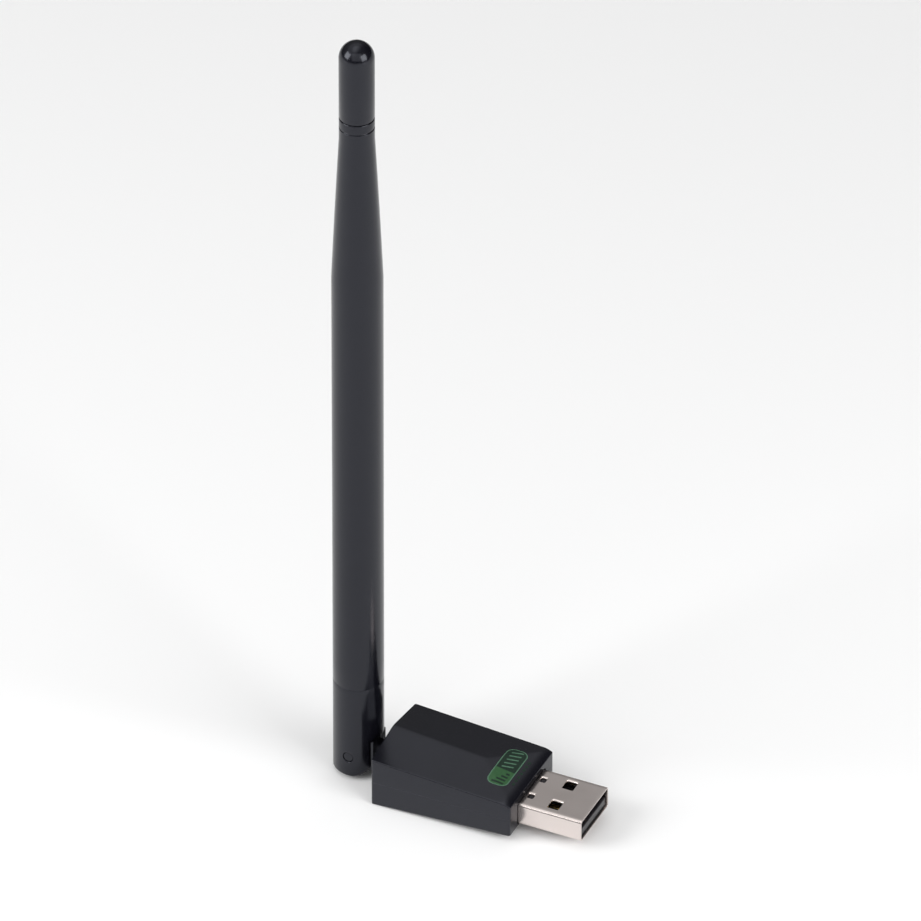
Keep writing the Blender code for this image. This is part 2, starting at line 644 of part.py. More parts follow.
def build_antenna(parent):
    centre = (HINGE_X, 0, 0)
    turned("antenna_sleeve", sleeve_profile(), centre, ANTENNA_PLASTIC, parent, ring=True)

    shoulder = 0.3 * MM
    spigot = 2.1 * MM
    spigot_low = CAP_BOTTOM - 4.0 * MM
    dome_z = ANTENNA_TOP - TIP_RADIUS
    profile = []
    for step in range(0, 11):
        turn = step * pi / 20
        profile.append((TIP_RADIUS * sin(turn), dome_z + TIP_RADIUS * cos(turn)))
    profile += [(TIP_RADIUS, CAP_BOTTOM + shoulder), (TIP_RADIUS - shoulder, CAP_BOTTOM),
                (spigot, CAP_BOTTOM), (spigot, spigot_low), (0.0, spigot_low)]
    turned("tip_cap", profile, centre, ANTENNA_PLASTIC, parent)

    lead("antenna_lead_rod", [(HINGE_X, 0, HINGE_Z + 0.75 * MM), (HINGE_X, 0, 12 * MM),
                              (HINGE_X, 0, 30 * MM), (HINGE_X, 0, FEED_Z)], LEAD_RADIUS, JACKET, parent)
    tube_outer = 2.2 * MM
    tube_inner = 1.9 * MM
    tube_low = 36.0 * MM
    tube_high = FEED_Z - 0.5 * MM
    turned("dipole_tube", [(tube_outer, tube_high), (tube_outer, tube_low), (tube_inner, tube_low),
                           (tube_inner, tube_high)], centre, BRASS, parent, ring=True, steps=32)
    for number, z in enumerate((40.0 * MM, 62.0 * MM)):
        spacer_ring("lead_spacer_%d" % (number + 1), LEAD_RADIUS + FIT_GAP, tube_inner - FIT_GAP, z, parent)
    spacer_ring("tube_spacer", tube_outer + FIT_GAP, SLEEVE_BORE_RADIUS - FIT_GAP, 51.0 * MM, parent)
    build_radiator(parent)


def spacer_ring(name, inner, outer, height, parent):
    """A short ring on the antenna's axis that keeps one piece centred in another."""
    half = 1.5 * MM
    turned(name, [(outer, height + half), (outer, height - half), (inner, height - half),
                  (inner, height + half)], (HINGE_X, 0, 0), RUBBER, parent, ring=True, steps=SMALL_STEPS)


def build_radiator(parent):
    """Upper element: a straight wire, a phasing coil and a second straight wire."""
    wire = 0.4 * MM
    coil_radius = 1.7 * MM
    coil_low = 92.0 * MM
    pitch = 1.7 * MM
    turns = 5
    per_turn = 14
    points = [(HINGE_X, 0, FEED_Z + 0.5 * MM), (HINGE_X, 0, coil_low - 2.0 * MM)]
    for step in range(turns * per_turn + 1):
        angle = step * 2 * pi / per_turn
        height = coil_low + pitch * step / per_turn
        points.append((HINGE_X + coil_radius * cos(angle), coil_radius * sin(angle), height))
    top = coil_low + pitch * turns
    points += [(HINGE_X, 0, top + 2.0 * MM), (HINGE_X, 0, 132.0 * MM)]
    lead("radiator_wire", points, wire, COPPER, parent)
    spacer_ring("radiator_spacer", wire + 0.1 * MM, 2.6 * MM, 127.0 * MM, parent)


def main():
    build_covers()
    build_plug()
    build_board()
    build_case_lead()
    swivel = joint_empty("swivel_axis", (REAR_X, 0, HINGE_Z))
    tilt = joint_empty("tilt_axis", (HINGE_X, 0, HINGE_Z))
    build_swivel(swivel)
    build_knuckle(tilt)
    build_pins(tilt)
    build_antenna(tilt)


main()
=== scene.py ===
"""Looks of the USB Wi-Fi adapter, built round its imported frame.

Lengths are in metres in the part's frame: X along the plug, Y across the case, Z up the antenna.
"""
import json
from math import cos, exp, hypot, pi, radians, sin, sqrt

import bmesh
import bpy
from mathutils import Matrix, Vector


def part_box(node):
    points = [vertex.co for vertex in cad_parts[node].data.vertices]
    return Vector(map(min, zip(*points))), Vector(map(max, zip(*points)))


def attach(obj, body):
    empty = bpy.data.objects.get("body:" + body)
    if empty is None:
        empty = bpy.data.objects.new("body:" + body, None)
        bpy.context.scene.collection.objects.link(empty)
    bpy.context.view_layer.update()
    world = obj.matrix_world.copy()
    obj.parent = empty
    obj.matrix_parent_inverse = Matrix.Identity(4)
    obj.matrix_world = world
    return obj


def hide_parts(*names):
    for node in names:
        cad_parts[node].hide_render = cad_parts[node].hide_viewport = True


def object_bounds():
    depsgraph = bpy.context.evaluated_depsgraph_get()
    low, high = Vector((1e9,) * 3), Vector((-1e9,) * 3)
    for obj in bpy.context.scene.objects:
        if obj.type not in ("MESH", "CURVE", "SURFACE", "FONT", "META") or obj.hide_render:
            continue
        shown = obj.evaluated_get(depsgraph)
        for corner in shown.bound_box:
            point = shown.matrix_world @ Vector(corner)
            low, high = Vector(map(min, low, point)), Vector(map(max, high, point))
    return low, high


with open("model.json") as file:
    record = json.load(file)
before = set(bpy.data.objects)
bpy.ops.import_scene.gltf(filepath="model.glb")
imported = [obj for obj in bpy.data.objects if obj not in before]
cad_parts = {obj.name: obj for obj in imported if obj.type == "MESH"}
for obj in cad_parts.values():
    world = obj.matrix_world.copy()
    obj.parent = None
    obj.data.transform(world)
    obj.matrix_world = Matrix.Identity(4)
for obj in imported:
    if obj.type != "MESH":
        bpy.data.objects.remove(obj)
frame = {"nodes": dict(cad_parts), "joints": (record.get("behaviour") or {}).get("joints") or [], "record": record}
CAD_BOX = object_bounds()

MM = 0.001

# ---------------------------------------------------------------- places from the frame

_, CASE_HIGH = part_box("top_cover")
PLUG_LOW, PLUG_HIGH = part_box("usb_shell")
KNUCKLE_LOW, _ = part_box("antenna_knuckle")
SLEEVE_LOW, SLEEVE_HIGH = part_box("antenna_sleeve")
CAP_LOW, CAP_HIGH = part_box("tip_cap")
JOINTS = {joint["name"]: joint for joint in frame["joints"]}
HINGE_X, _, HINGE_Z = JOINTS["antenna_tilt"]["pos_m"]
REAR_X = JOINTS["antenna_swivel"]["pos_m"][0]
FRONT_X = CASE_HIGH.x
CASE_LENGTH = FRONT_X - REAR_X
TIP_X = PLUG_HIGH.x
PLUG_CENTRE_Z = (PLUG_LOW.z + PLUG_HIGH.z) / 2
PLUG_HALF_WIDTH = (PLUG_HIGH.y - PLUG_LOW.y) / 2
PLUG_HALF_HEIGHT = (PLUG_HIGH.z - PLUG_LOW.z) / 2
ROD_RADIUS = HINGE_X - KNUCKLE_LOW.x
TIP_RADIUS = (CAP_HIGH.y - CAP_LOW.y) / 2
CAD_SEAM_HALF_GAP = 0.12 * MM
SEAM_Z = SLEEVE_LOW.z - CAD_SEAM_HALF_GAP
PARTING_Z = HINGE_Z

# Case form, measured from the rear face
HALF_WIDTH_REAR = 9.55 * MM
HALF_WIDTH_FRONT = 9.45 * MM
SIDE_TOP_REAR = 10.1 * MM
SIDE_TOP_FRONT = 8.45 * MM
CREST_REAR = 11.75 * MM
CREST_END = 10.1 * MM
CREST_FRONT = 8.6 * MM
RIDGE_LENGTH = 18.5 * MM
UNDERSIDE_RISE = 1.45 * MM
WALL = 1.3 * MM
END_WALL = 1.5 * MM
FIT_GAP = 0.15 * MM
LIP_WALL = 0.6 * MM
LIP_HEIGHT = 0.8 * MM
FRONT_CORNER = 0.45 * MM
REAR_CORNER = 0.4 * MM
SMALLEST_CORNER = 0.12 * MM
TOP_FILLET = 0.2 * MM
BOTTOM_FILLET = 0.3 * MM
BROW_LENGTH = 2.0 * MM
BROW_DROP = 0.55 * MM
ROOF_EASE = 0.25 * MM
REAR_EASE_MORE = 0.8
REAR_EASE_LENGTH = 4.0 * MM
PARTING_HALF_GAP = 0.008 * MM
PARTING_EASE = 0.012 * MM
RIB_Y = 5.6 * MM
RIB_HALF_THICKNESS = 0.5 * MM
RIB_ENDS = (4.6 * MM, 17.5 * MM)
RIB_LEVELS = (1.2 * MM, 2.7 * MM)
SHAFT_SPACE_END = 3.5 * MM

# Plug; each window is (back from the mouth, to the side, half length, half width)
SHEET = 0.3 * MM
PLUG_CORNER = 0.6 * MM
PLUG_LIP = 0.05 * MM
WINDOW_CORNER = 0.2 * MM
WINDOW_ROLL = 0.35 * MM
CRISP_SHARE = 0.1
LATCH_WINDOW = (6.45 * MM, 3.2 * MM, 1.1 * MM, 1.25 * MM)
KEY_WINDOW = (11.55 * MM, 2.65 * MM, 0.6 * MM, 0.7 * MM)
DENT_DEPTH = 0.09 * MM
DENT_BACK = 5.4 * MM
DENT_Z = 0.1 * MM
DENT_REACH = (0.75 * MM, 0.45 * MM)

# Neck and antenna
TAPER_BOTTOM = 111.0 * MM
TAPER_TOP = 141.5 * MM
RING_GROOVE_Z = 144.1 * MM
CAP_BOTTOM = 146.2 * MM
HEEL_RADIUS = 4.76 * MM
HEEL_Z = 5.5 * MM
TONGUE_RADIUS = 3.4 * MM
TONGUE_HALF_WIDTH = 2.71 * MM
TONGUE_END = 2.8 * MM
COLLAR_RADIUS = 3.3 * MM
COLLAR_BACK = 0.85 * MM
SHAFT_RADIUS = 2.3 * MM
FLANGE_RADIUS = 3.3 * MM
FLANGE_REAR = 2.3 * MM
FLANGE_FRONT = 3.2 * MM
FLANGE_CHAMFER = 0.15 * MM
PIN_RADIUS = 1.0 * MM
LEAD_BORE = 0.85 * MM
SLIDE_GAP = 0.25 * MM
SEAM_HALF_GAP = 0.01 * MM
SPIGOT_RADIUS = 3.4 * MM
SPIGOT_LENGTH = 5.0 * MM
SPIGOT_CHAMFER = 0.2 * MM
SLEEVE_BORE = 3.65 * MM
TIP_BORE = 2.35 * MM
CAP_SPIGOT_RADIUS = 2.1 * MM
SHOULDER = 0.22 * MM
SEAM_RIM = 0.03 * MM
RING_GROOVE = 0.18 * MM
TAPER_SWELL = 0.03

# Mesh
LATHE_STEPS = 144
COLUMNS = 48
PLAN_ROWS = 60
PLAN_CROWDING = 0.15
ON_AXIS = 1e-9
SHARP_CORNER = 1e-5
MERGE_DISTANCE = 1e-7

# Studio
FLOOR_GAP = 0.02 * MM
FLOOR_GREY = 0.93
SKY_STOPS = ((0.0, 0.0), (0.25, 0.13), (0.34, 0.2), (0.59, 0.24), (0.67, 0.58), (0.79, 0.72), (0.88, 0.8),
             (0.97, 1.8))
SKY_FALL = (("From Min", -0.1), ("From Max", 0.3), ("To Min", 1.0), ("To Max", 0.2))
SOFTBOXES = (
    ("left", (-0.68, -0.60, 0.55), (-0.04, 0.03, 0.0), (0.6, 0.6), 6.3),
    ("right", (0.86, -0.20, 0.50), (0.04, 0.03, 0.0), (0.6, 0.6), 5.9),
    ("fill", (0.50, -1.05, 0.95), (0.0, 0.0, 0.05), (1.8, 1.3), 6.6),
)
CAMERA_LENS = 638.16
CAMERA_SENSOR = 36.0
CAMERA_CLIP = (0.1, 20.0)
CAMERA_PLACE = (1.00038, -2.15121, 1.82927)
CAMERA_FORWARD = (-0.33941, 0.72917, -0.59423)
CAMERA_UP = (-0.25231, 0.53801, 0.80429)


def between(start, end, share):
    return start + (end - start) * share


def quarter(radius, steps):
    """(run, rise) of the points after the start of a quarter round that sets off along its run."""
    turns = [radians(90 * step / steps) for step in range(1, steps + 1)]
    return [(radius * sin(turn), radius * (1 - cos(turn))) for turn in turns]


def set_stops(ramp, stops):
    """Gives a colour ramp node its (position, colour) stops."""
    elements = ramp.color_ramp.elements
    while len(elements) < len(stops):
        elements.new(0.5)
    for element, (position, colour) in zip(elements, stops):
        element.position = position
        element.color = (*colour, 1.0)


# ---------------------------------------------------------------- materials

class Finish:
    """A Principled material with helpers for its node tree."""

    def __init__(self, name, roughness, metallic=0.0, specular=0.5):
        self.material = bpy.data.materials.new(name)
        self.material.use_nodes = True
        self.tree = self.material.node_tree
        self.shader = self.tree.nodes["Principled BSDF"]
        self.shader.inputs["Roughness"].default_value = roughness
        self.shader.inputs["Metallic"].default_value = metallic
        self.shader.inputs["Specular IOR Level"].default_value = specular
        self.place = self.node("ShaderNodeTexCoord").outputs["Object"]

    def node(self, kind, **settings):
        made = self.tree.nodes.new(kind)
        for key, value in settings.items():
            setattr(made, key, value)
        return made

    def link(self, source, target):
        self.tree.links.new(source, target)

    def stretched(self, scale):
        mapping = self.node("ShaderNodeMapping")
        mapping.inputs["Scale"].default_value = scale
        self.link(self.place, mapping.inputs["Vector"])
        return mapping.outputs["Vector"]

    def noise(self, scale, detail=4.0, roughness=0.55, place=None):
        made = self.node("ShaderNodeTexNoise")
        made.inputs["Scale"].default_value = scale
        made.inputs["Detail"].default_value = detail
        made.inputs["Roughness"].default_value = roughness
        self.link(place or self.place, made.inputs["Vector"])
        return made.outputs["Fac"]

    def ramp(self, source, stops):
        made = self.node("ShaderNodeValToRGB")
        set_stops(made, stops)
        self.link(source, made.inputs["Fac"])
        return made.outputs["Color"]

    def spread(self, source, low, high, start=0.3, end=0.7):
        made = self.node("ShaderNodeMapRange")
        for key, value in (("From Min", start), ("From Max", end), ("To Min", low), ("To Max", high)):
            made.inputs[key].default_value = value
        self.link(source, made.inputs["Value"])
        return made.outputs["Result"]

    def sum(self, first, second, operation="ADD"):
        made = self.node("ShaderNodeMath", operation=operation)
        for socket, value in zip(made.inputs, (first, second)):
            if isinstance(value, float):
                socket.default_value = value
            else:
                self.link(value, socket)
        return made.outputs["Value"]

    def mix(self, share, first, second):
        made = self.node("ShaderNodeMix", data_type="RGBA")
        self.link(share, made.inputs["Factor"])
        for socket, value in ((made.inputs[6], first), (made.inputs[7], second)):
            if isinstance(value, tuple):
                socket.default_value = (*value, 1.0)
            else:
                self.link(value, socket)
        return made.outputs[2]

    def edges(self, radius, start=0.02, end=0.25):
        """How close a point is to a hard edge, 0 to 1."""
        bevel = self.node("ShaderNodeBevel", samples=6)
        bevel.inputs["Radius"].default_value = radius
        plain = self.node("ShaderNodeNewGeometry").outputs["Normal"]
        turn = self.node("ShaderNodeVectorMath", operation="DOT_PRODUCT")
        self.link(bevel.outputs["Normal"], turn.inputs[0])
        self.link(plain, turn.inputs[1])
        return self.spread(self.sum(1.0, turn.outputs["Value"], "SUBTRACT"), 0.0, 1.0, start, end)

    def bump(self, layers):
        """Bump from (height, distance in metres) layers."""
        normal = None
        for height, distance in layers:
            made = self.node("ShaderNodeBump")
            made.inputs["Strength"].default_value = 1.0
            made.inputs["Distance"].default_value = distance
            self.link(height, made.inputs["Height"])
            if normal is not None:
                self.link(normal, made.inputs["Normal"])
            normal = made.outputs["Normal"]
        self.link(normal, self.shader.inputs["Normal"])

    def colour(self, source):
        self.link(source, self.shader.inputs["Base Color"])

    def rough(self, source):
        self.link(source, self.shader.inputs["Roughness"])


SHEEN_TINT = (0.86, 0.89, 1.0, 1.0)


def satin_plastic(name, dark, light, edge_highlight_colour, gloss, specular, grain):
    """Moulded plastic: fine spark-eroded grain, faint handling marks, polished edges that are glossier, and a
    painted edge highlight of lighter colour along hard edges.
    """
    made = Finish(name, gloss[0], 0.0, specular)
    made.shader.inputs["Specular Tint"].default_value = SHEEN_TINT
    cloud = made.noise(260.0, 5.0, 0.6)
    smudge = made.noise(95.0, 6.0, 0.65)
    fine = made.noise(9000.0, 3.0, 0.6)
    edge = made.edges(0.16 * MM)
    base = made.ramp(cloud, ((0.3, dark), (0.72, light)))
    # painted highlight: hard edges get a lighter colour
    made.colour(made.mix(edge, base, edge_highlight_colour))
    patch = made.spread(smudge, gloss[0], gloss[1], 0.32, 0.68)
    speck = made.spread(fine, -0.03, 0.03)
    polish = made.sum(edge, -0.05, "MULTIPLY")
    made.rough(made.sum(made.sum(patch, speck), polish))
    made.bump(((made.noise(420.0, 2.0), 0.007 * MM), (fine, grain * MM)))
    return made.material


def plated_metal(name, dark, light, gloss, stretch, line_depth=0.0005):
    """Rolled and plated sheet: faint drawing lines, soft clouding and a painted edge highlight of lighter colour
    along hard edges.
    """
    made = Finish(name, gloss[0], 1.0)
    lines = made.noise(1400.0, 3.0, 0.6, made.stretched(stretch))
    cloud = made.noise(130.0, 3.0, 0.5)
    edge = made.edges(0.12 * MM)
    base = made.ramp(cloud, ((0.3, dark), (0.7, light)))
    # painted highlight: hard edges get a colour twelve percent lighter
    bright = tuple(min(1.0, channel * 1.12) for channel in light)
    made.colour(made.mix(edge, base, bright))
    streak = made.spread(lines, -0.02, 0.02)
    made.rough(made.sum(made.spread(cloud, gloss[0], gloss[1]), streak))
    made.bump(((lines, line_depth * MM), (made.noise(90.0, 1.0), 0.004 * MM)))
    return made.material


def printed_ink(name, dark, light, gloss):
    """Pad-printed ink: slight mottling and pinholes."""
    made = Finish(name, gloss, 0.0, 0.35)
    mottle = made.noise(1500.0, 5.0, 0.65)
    pores = made.noise(6500.0, 2.0, 0.5)
    made.colour(made.ramp(mottle, ((0.3, dark), (0.7, light))))
    made.rough(made.spread(pores, gloss - 0.05, gloss + 0.09))
    made.bump(((pores, 0.003 * MM),))
    return made.material


def plain_solid(name, dark, light, gloss, scale=1200.0, depth=0.004):
    """Small hidden parts: mottled colour, uneven gloss, a little surface texture."""
    made = Finish(name, gloss[0])
    cloud = made.noise(scale, 5.0, 0.6)
    fine = made.noise(scale * 5.0, 2.0)
    edge = made.edges(0.06 * MM)
    base = made.ramp(cloud, ((0.3, dark), (0.7, light)))
    # painted highlight: hard edges get a lighter colour
    made.colour(made.mix(made.sum(edge, 0.4, "MULTIPLY"), base,
                         tuple(min(1.0, channel * 1.5 + 0.01) for channel in light)))
    made.rough(made.spread(cloud, gloss[0], gloss[1]))
    made.bump(((fine, depth * MM),))
    return made.material


def laminate():
    """Circuit board: solder mask over a woven glass cloth."""
    made = Finish("board_laminate", 0.35)
    threads = []
    for direction in ("X", "Y"):
        wave = made.node("ShaderNodeTexWave", wave_type="BANDS", bands_direction=direction)
        wave.inputs["Scale"].default_value = 420.0
        wave.inputs["Distortion"].default_value = 0.6
        made.link(made.place, wave.inputs["Vector"])
        threads.append(wave.outputs["Fac"])
    cloth = made.sum(*threads, "MULTIPLY")
    made.colour(made.ramp(cloth, ((0.0, (0.006, 0.07, 0.03)), (1.0, (0.014, 0.13, 0.055)))))
    made.rough(made.spread(made.noise(700.0), 0.28, 0.45))
    made.bump(((cloth, 0.006 * MM),))
    return made.material


CASE_PLASTIC = satin_plastic("case_plastic", (0.0046, 0.0046, 0.0072), (0.0062, 0.0062, 0.0092),
                             (0.014, 0.014, 0.019), (0.17, 0.23), 0.50, 0.0012)
ROD_PLASTIC = satin_plastic("antenna_plastic", (0.0040, 0.0040, 0.0066), (0.0054, 0.0054, 0.0084),
                            (0.013, 0.013, 0.018), (0.16, 0.22), 0.43, 0.0009)
NICKEL = plated_metal("plug_steel", (0.70, 0.63, 0.60), (0.75, 0.68, 0.65), (0.20, 0.24),
                      (0.05, 1.0, 1.0), 0.00012)
GOLD = plated_metal("contact_gold", (0.72, 0.5, 0.18), (0.86, 0.64, 0.29), (0.18, 0.3),
                    (0.05, 1.0, 1.0), 0.0004)
BRASS = plated_metal("tube_brass", (0.6, 0.42, 0.17), (0.74, 0.54, 0.25), (0.25, 0.4),
                     (1.0, 1.0, 0.05))
COPPER = plated_metal("radiator_copper", (0.6, 0.28, 0.15), (0.76, 0.39, 0.23), (0.25, 0.38),
                      (1.0, 1.0, 0.05))
TIN = plated_metal("crystal_metal", (0.56, 0.56, 0.55), (0.7, 0.7, 0.69), (0.26, 0.38),
                   (1.0, 1.0, 1.0))
INSULATOR = plain_solid("insulator_plastic", (0.012, 0.011, 0.014), (0.019, 0.018, 0.022),
                        (0.18, 0.28), 1200.0, 0.001)
RESIN = plain_solid("chip_resin", (0.011, 0.011, 0.012), (0.02, 0.02, 0.021), (0.5, 0.65),
                    1800.0, 0.006)
CERAMIC = plain_solid("capacitor_ceramic", (0.26, 0.18, 0.11), (0.4, 0.29, 0.18), (0.4, 0.55))
RUBBER = plain_solid("black_rubber", (0.012, 0.012, 0.012), (0.022, 0.022, 0.022), (0.7, 0.85))
JACKET = plain_solid("lead_jacket", (0.02, 0.02, 0.022), (0.034, 0.034, 0.037), (0.42, 0.55))
LAMINATE = laminate()
INK_DARK = printed_ink("ink_dark_green", (0.003, 0.015, 0.008), (0.005, 0.022, 0.012), 0.36)
INK_BRIGHT = printed_ink("ink_bright_green", (0.021, 0.077, 0.026), (0.029, 0.097, 0.034), 0.36)
INK_PALE = printed_ink("ink_pale_green", (0.055, 0.130, 0.080), (0.080, 0.170, 0.108), 0.36)

SLOT_FINISH = {
    "insulator_plastic": INSULATOR, "contact_gold": GOLD, "board_laminate": LAMINATE,
    "chip_resin": RESIN, "capacitor_ceramic": CERAMIC, "crystal_metal": TIN, "tube_brass": BRASS,
    "radiator_copper": COPPER, "black_rubber": RUBBER, "lead_jacket": JACKET,
    "case_plastic": CASE_PLASTIC, "antenna_plastic": ROD_PLASTIC, "plug_steel": NICKEL,
}


def finish_cad_nodes():
    """Every CAD node gets the procedural material of its slot."""
    for row in frame["record"]["subparts"]:
        node = frame["nodes"][row["node"]]
        for slot in node.material_slots:
            slot.material = SLOT_FINISH[row["material_slot"]]


# ---------------------------------------------------------------- mesh helpers

def piece(name, bm, finish, body=None, stands_for=(), angle=35.0):
    """A new object from a bmesh; with a body it is a piece of the model, else a cutter."""
    bmesh.ops.remove_doubles(bm, verts=bm.verts, dist=MERGE_DISTANCE)
    bmesh.ops.recalc_face_normals(bm, faces=bm.faces)
    mesh = bpy.data.meshes.new(name)
    bm.to_mesh(mesh)
    bm.free()
    made = bpy.data.objects.new(name, mesh)
    bpy.context.scene.collection.objects.link(made)
    mesh.shade_smooth()
    mesh.set_sharp_from_angle(angle=radians(angle))
    if finish is not None:
        mesh.materials.append(finish)
    if body:
        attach(made, body)
        if stands_for:
            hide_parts(*stands_for)
    return made


def carve(target, cutters, operation="DIFFERENCE", angle=35.0):
    """Applies Booleans to a piece and removes the cutters."""
    for cutter in cutters:
        step = target.modifiers.new("cut", "BOOLEAN")
        step.operation = operation
        step.solver = "EXACT"
        step.object = cutter
        graph = bpy.context.evaluated_depsgraph_get()
        made = bpy.data.meshes.new_from_object(target.evaluated_get(graph))
        target.modifiers.clear()
        old = target.data
        target.data = made
        bpy.data.meshes.remove(old)
        bpy.data.objects.remove(cutter)
    target.data.shade_smooth()
    target.data.set_sharp_from_angle(angle=radians(angle))
    return target


def ease_edges(target, width, angle):
    """Rounds the hard edges left by cutting."""
    step = target.modifiers.new("ease", "BEVEL")
    step.width = width
    step.segments = 3
    step.limit_method = "ANGLE"
    step.angle_limit = radians(angle)
    step.use_clamp_overlap = False
    graph = bpy.context.evaluated_depsgraph_get()
    made = bpy.data.meshes.new_from_object(target.evaluated_get(graph))
    target.modifiers.clear()
    target.data = made
    made.shade_smooth()
    made.set_sharp_from_angle(angle=radians(50))


def join_loops(bm, first, second):
    """Quads between two closed loops of vertices."""
    count = len(first)
    for index in range(count):
        after = (index + 1) % count
        bm.faces.new((first[index], first[after], second[after], second[index]))


def lathe(profile, centre, along="Z", steps=LATHE_STEPS, ring=False):
    """A bmesh turned from (radius, height) points; along X the height runs forwards."""
    bm = bmesh.new()
    rows = []
    for radius, height in profile:
        if radius < ON_AXIS:
            rows.append([bm.verts.new((0.0, 0.0, height))])
            continue
        rows.append([bm.verts.new((radius * cos(2 * pi * step / steps),
                                   radius * sin(2 * pi * step / steps), height))
                     for step in range(steps)])
    pairs = list(zip(rows, rows[1:]))
    if ring:
        pairs.append((rows[-1], rows[0]))
    for low, high in pairs:
        if len(low) == 1 or len(high) == 1:
            pole = low[0] if len(low) == 1 else high[0]
            loop = high if len(low) == 1 else low
            for index in range(steps):
                bm.faces.new((pole, loop[index], loop[(index + 1) % steps]))
        else:
            join_loops(bm, low, high)
    turn = {"Z": Matrix.Identity(4), "X": Matrix.Rotation(pi / 2, 4, "Y"),
            "Y": Matrix.Rotation(-pi / 2, 4, "X")}[along]
    bmesh.ops.transform(bm, matrix=Matrix.Translation(centre) @ turn, verts=bm.verts)
    return bm


def rod_mesh(radius, low, high, centre, along, steps):
    """A plain round bar between two heights, for cutting."""
    return lathe([(0.0, low), (radius, low), (radius, high), (0.0, high)], centre, along, steps)


def arc(centre, radius, start, end, steps):
    """Points on an arc, angles in degrees, both ends included."""
    points = []
    for step in range(steps + 1):
        turn = radians(between(start, end, step / steps))
        points.append((centre[0] + radius * cos(turn), centre[1] + radius * sin(turn)))
    return points


def rounded_rectangle(half_a, half_b, radius, steps=8):
    """Outline of a rounded rectangle centred on the origin."""
    points = []
    for sign_a, sign_b, start in ((1, 1, 0), (-1, 1, 90), (-1, -1, 180), (1, -1, 270)):
        centre = (sign_a * (half_a - radius), sign_b * (half_b - radius))
        points += arc(centre, radius, start, start + 90, steps)
    return points


def prism(sections, close=True):
    """A bmesh through sections, each a list of points with the same count."""
    bm = bmesh.new()
    loops = [[bm.verts.new(point) for point in section] for section in sections]
    for low, high in zip(loops, loops[1:]):
        join_loops(bm, low, high)
    if close:
        bm.faces.new(loops[0])
        bm.faces.new(loops[-1])
    else:
        join_loops(bm, loops[-1], loops[0])
    return bm


def block(low, high):
    """An upright block with all but sharp edges."""
    low = Vector(low)
    high = Vector(high)
    middle = (low + high) / 2
    half = (high - low) / 2
    outline = rounded_rectangle(half.x, half.y, SHARP_CORNER, 1)
    return prism([[(middle.x + x, middle.y + y, z) for x, y in outline] for z in (low.z, high.z)])


# ---------------------------------------------------------------- case

def half_width(x):
    return between(HALF_WIDTH_REAR, HALF_WIDTH_FRONT, x / CASE_LENGTH)


def sharp_top(x, y):
    """Height of the case's top: two roof facets and a flat front facet."""
    x = min(max(x, 0.0), CASE_LENGTH)
    width = half_width(x)
    side = between(SIDE_TOP_REAR, SIDE_TOP_FRONT, x / CASE_LENGTH)
    if x <= RIDGE_LENGTH:
        crest_half = 0.0
        crest = between(CREST_REAR, CREST_END, x / RIDGE_LENGTH)
    else:
        share = (x - RIDGE_LENGTH) / (CASE_LENGTH - RIDGE_LENGTH)
        crest_half = width * share
        crest = between(CREST_END, CREST_FRONT, share)
    run = width - crest_half
    if abs(y) <= crest_half or run < 0.1 * MM:
        return crest
    return between(side, crest, min(1.0, (width - abs(y)) / run))


def top_height(x, y):
    """The case's top with its ridge and hips eased over a millimetre or so."""
    total = 0.0
    weight = 0.0
    spread = ROOF_EASE * (1.0 + REAR_EASE_MORE * max(0.0, 1.0 - x / REAR_EASE_LENGTH))
    for step in range(-3, 4):
        share = exp(-step * step / 4.5)
        reach = step * spread
        if abs(y) + abs(reach) < half_width(x):
            total += share * sharp_top(x, y + reach)
            weight += share
    smooth = total / weight if weight else sharp_top(x, y)
    return smooth - brow_drop(x)


def brow_drop(x):
    """How far the top curves down in the last stretch before the front face."""
    share = max(0.0, 1.0 - (CASE_LENGTH - x) / BROW_LENGTH)
    return BROW_DROP * share * share


def under_height(x):
    return UNDERSIDE_RISE * x / CASE_LENGTH


def outline_rows(inset_side, inset_end):
    """(x, half width) rows of the plan, rear to front, for an outline set in from the case's."""
    rows = []
    rear = max(REAR_CORNER - inset_side, SMALLEST_CORNER)
    front = max(FRONT_CORNER - inset_side, SMALLEST_CORNER)
    centre_x = inset_end + rear
    for step in range(7):
        turn = radians(90 * step / 6)
        rows.append((centre_x - rear * cos(turn),
                     half_width(centre_x) - inset_side - rear + rear * sin(turn)))
    front_x = CASE_LENGTH - inset_end - front
    for step in range(1, PLAN_ROWS):
        share = step / PLAN_ROWS
        x = between(centre_x, front_x, share + PLAN_CROWDING * sin(pi * share))
        rows.append((x, half_width(x) - inset_side))
    for step in range(13):
        turn = radians(90 * step / 12)
        rows.append((front_x + front * sin(turn),
                     half_width(front_x) - inset_side - front + front * cos(turn)))
    return rows


def case_loop(bm, inset_side, inset_end, height):
    """A closed loop of vertices round the plan; height is a function of x and y."""
    rows = outline_rows(inset_side, inset_end)
    shares = [2.0 * step / COLUMNS - 1.0 for step in range(COLUMNS + 1)]
    places = [(rows[0][0], rows[0][1] * share) for share in shares]
    places += [(x, width) for x, width in rows[1:-1]]
    places += [(rows[-1][0], rows[-1][1] * share) for share in reversed(shares)]
    places += [(x, -width) for x, width in reversed(rows[1:-1])]
    return [bm.verts.new((REAR_X + x, y, height(x, y))) for x, y in places]


